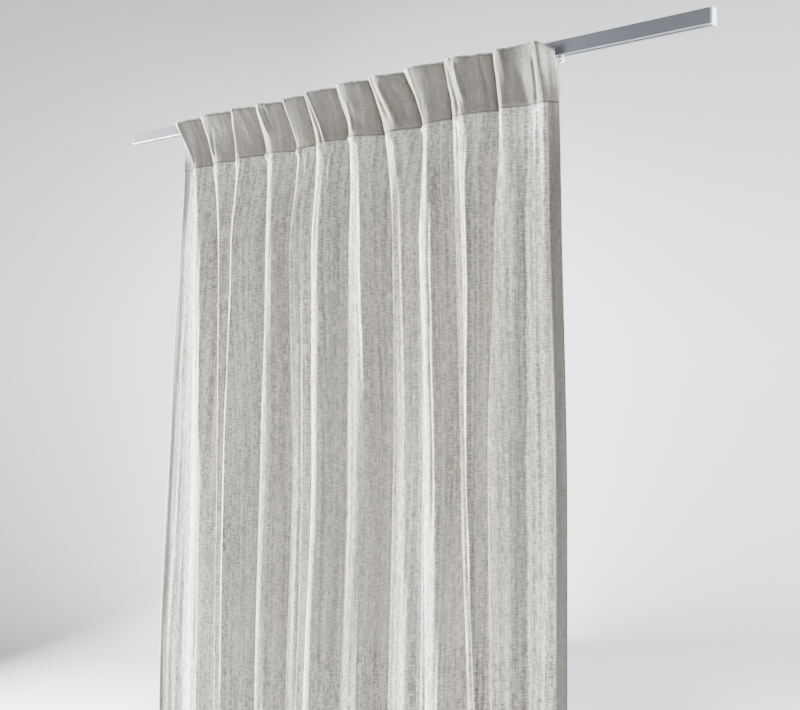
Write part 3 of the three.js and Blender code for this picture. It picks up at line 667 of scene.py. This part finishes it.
def hardMaterial(name, hexColour, metallic, roughness, grainScale):
    # grainScale is in bumps to a metre along x, y and z
    material, tree = newMaterial(name)
    where = addNode(tree, "ShaderNodeTexCoord")
    stretch = addNode(tree, "ShaderNodeMapping", {"Scale": grainScale},
                      {"Vector": where.outputs["Object"]})
    grain = addNode(tree, "ShaderNodeTexNoise", {"Scale": 1, "Detail": grainSettings["detail"]},
                    {"Vector": stretch.outputs[0]})
    shade = addNode(tree, "ShaderNodeMapRange",
                    {"To Min": roughness - grainSettings["smoother"],
                     "To Max": roughness + grainSettings["rougher"]},
                    {"Value": grain.outputs[0]})
    bump = addNode(tree, "ShaderNodeBump",
                   {"Strength": grainSettings["strength"], "Distance": grainSettings["deep"] * mm},
                   {"Height": grain.outputs[0]})
    surface = addNode(tree, "ShaderNodeBsdfPrincipled",
                      {"Base Color": toLinear(hexColour), "Metallic": metallic},
                      {"Roughness": shade.outputs[0], "Normal": bump.outputs[0]})
    addNode(tree, "ShaderNodeOutputMaterial", {}, {"Surface": surface.outputs[0]})
    return material


finishes = {
    # drawn and satin anodised: soft grey metal, dull broad highlights and faint lines along the
    # rail, here 125 mm long and 1.1 mm apart, ten times as coarse as real ones so that they show
    "rail": hardMaterial("anodisedAluminium", "#84888e", 1, 0.38, (8, 900, 900)),
    # moulded in a lightly textured tool: even light grey and half dull, its 0.1 mm texture drawn
    # 1.1 mm coarse so that it shows
    "end_cap": hardMaterial("mouldedAbs", "#aeb1b5", 0, 0.5, (900, 900, 900)),
    # moulded and left as it comes: milky white with a slight waxy shine, its texture drawn as
    # coarse as the caps'
    "glider": hardMaterial("acetal", "#e9e9e6", 0, 0.4, (900, 900, 900)),
    # drawn wire, zinc plated: bright and cool, with fine lines down its leg, 8 mm long and 1.4 mm
    # apart, coarser than real ones so that they show
    "hook": hardMaterial("zincPlatedSteel", "#c4c6c8", 1, 0.3, (700, 700, 120)),
}
for name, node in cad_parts.items():
    if name == "curtain_cloth":
        continue
    finish = next(material for start, material in finishes.items() if name.startswith(start))
    node.data.materials.clear()
    node.data.materials.append(finish)
print("rail, caps, gliders and hooks finished")

# a round floor that curves up all round: pale behind the curtain, greyer in front of it and to its
# right, so that little light comes back from there onto the shaded side of the folds
sweepSettings = {
    "floor": -2.52,
    "flat": 4.4,
    "bend": 1.8,
    "bendSteps": 11,
    "height": 6.4,
    "sides": 72,
    "frontPaint": "#77787a",
    "backPaint": "#c4c5c7",
    "paleToward": (-0.7, 0.7, 0),
    "greyUpTo": -3.4,
    "paleFrom": 0.6,
}


def buildSweep():
    # a disc, its rim extruded and widened step by step round the bend, then straight up
    flat, bend, floor = sweepSettings["flat"], sweepSettings["bend"], sweepSettings["floor"]
    bpy.ops.object.select_all(action="DESELECT")
    bpy.ops.mesh.primitive_circle_add(vertices=sweepSettings["sides"], radius=flat,
                                      fill_type="TRIFAN", location=(0, 0, floor))
    bpy.ops.object.transform_apply(location=True, rotation=False, scale=False)
    sweep = bpy.context.object
    sweep.name = "sweep"
    bpy.ops.object.mode_set(mode="EDIT")
    bpy.ops.mesh.select_mode(type="VERT")
    bpy.ops.mesh.select_all(action="DESELECT")
    bpy.ops.mesh.select_non_manifold()
    rings = [(flat + bend * math.sin(angle), floor + bend * (1 - math.cos(angle)))
             for angle in np.linspace(0, math.pi / 2, sweepSettings["bendSteps"] + 1)]
    rings.append((flat + bend, floor + sweepSettings["height"]))
    for (innerRadius, lower), (radius, upper) in zip(rings, rings[1:]):
        bpy.ops.mesh.extrude_region_move(TRANSFORM_OT_translate={"value": (0, 0, upper - lower)})
        widen = radius / innerRadius
        bpy.ops.transform.resize(value=(widen, widen, 1), center_override=(0, 0, upper))
    bpy.ops.mesh.select_all(action="SELECT")
    bpy.ops.mesh.normals_make_consistent(inside=True)
    bpy.ops.object.mode_set(mode="OBJECT")
    bpy.ops.object.shade_smooth()
    # rolled matt paint: no shine at all, and no grain that would show from here
    paint, tree = newMaterial("mattPaint")
    where = addNode(tree, "ShaderNodeTexCoord")
    behind = addNode(tree, "ShaderNodeVectorMath",
                     {"operation": "DOT_PRODUCT", 1: sweepSettings["paleToward"]},
                     {0: where.outputs["Object"]})
    share = addNode(tree, "ShaderNodeMapRange",
                    {"interpolation_type": "SMOOTHSTEP", "From Min": sweepSettings["greyUpTo"],
                     "From Max": sweepSettings["paleFrom"]},
                    {"Value": behind.outputs["Value"]})
    tone = addNode(tree, "ShaderNodeMix",
                   {"data_type": "RGBA", "A": toLinear(sweepSettings["frontPaint"]),
                    "B": toLinear(sweepSettings["backPaint"])},
                   {"Factor": share.outputs[0]})
    matt = addNode(tree, "ShaderNodeBsdfDiffuse", {}, {"Color": tone.outputs["Result"]})
    addNode(tree, "ShaderNodeOutputMaterial", {}, {"Surface": matt.outputs[0]})
    sweep.data.materials.append(paint)


buildSweep()
print("floor done")

# area lights: where each stands and aims, its size and its watts
lights = {
    # grazes the folds' fronts from the left: bright crests, shaded right sides
    "key": [(-3.8, -0.55, -0.95), (0, 0, -0.95), (0.6, 2.2), 2200],
    # shows the crinkles on the shaded sides
    "fill": [(-1.9, -3.4, -0.6), (0, 0, -0.8), (0.8, 2.0), 90],
    # comes through the cloth at its right end
    "behind": [(1.35, 0.75, -0.9), (0.4, 0, -0.9), (1.0, 2.2), 330],
    # these two light the sweep behind the curtain
    "sweepLeft": [(-2.6, 3.0, -0.9), (-5, 5.5, -1.5), (2.0, 3.0), 330],
    "sweepRight": [(0.6, 3.4, -0.9), (0.6, 6.2, -1.5), (2.0, 3.0), 120],
}
for name, (place, target, size, watts) in lights.items():
    light = bpy.data.lights.new(name, "AREA")
    light.shape = "RECTANGLE"
    light.size, light.size_y = size
    light.energy = watts
    lamp = bpy.data.objects.new(name, light)
    lamp.location = place
    direction = Vector(target) - Vector(place)
    lamp.rotation_euler = direction.to_track_quat("-Z", "Y").to_euler()
    lamp.visible_camera = False
    bpy.context.scene.collection.objects.link(lamp)
skySettings = {"colour": "#f4f6f8", "strength": 0.1}
world = bpy.data.worlds.new("studio")
bpy.context.scene.world = world
world.use_nodes = True
background = world.node_tree.nodes["Background"]
background.inputs["Color"].default_value = toLinear(skySettings["colour"])
background.inputs["Strength"].default_value = skySettings["strength"]
print("lights done")
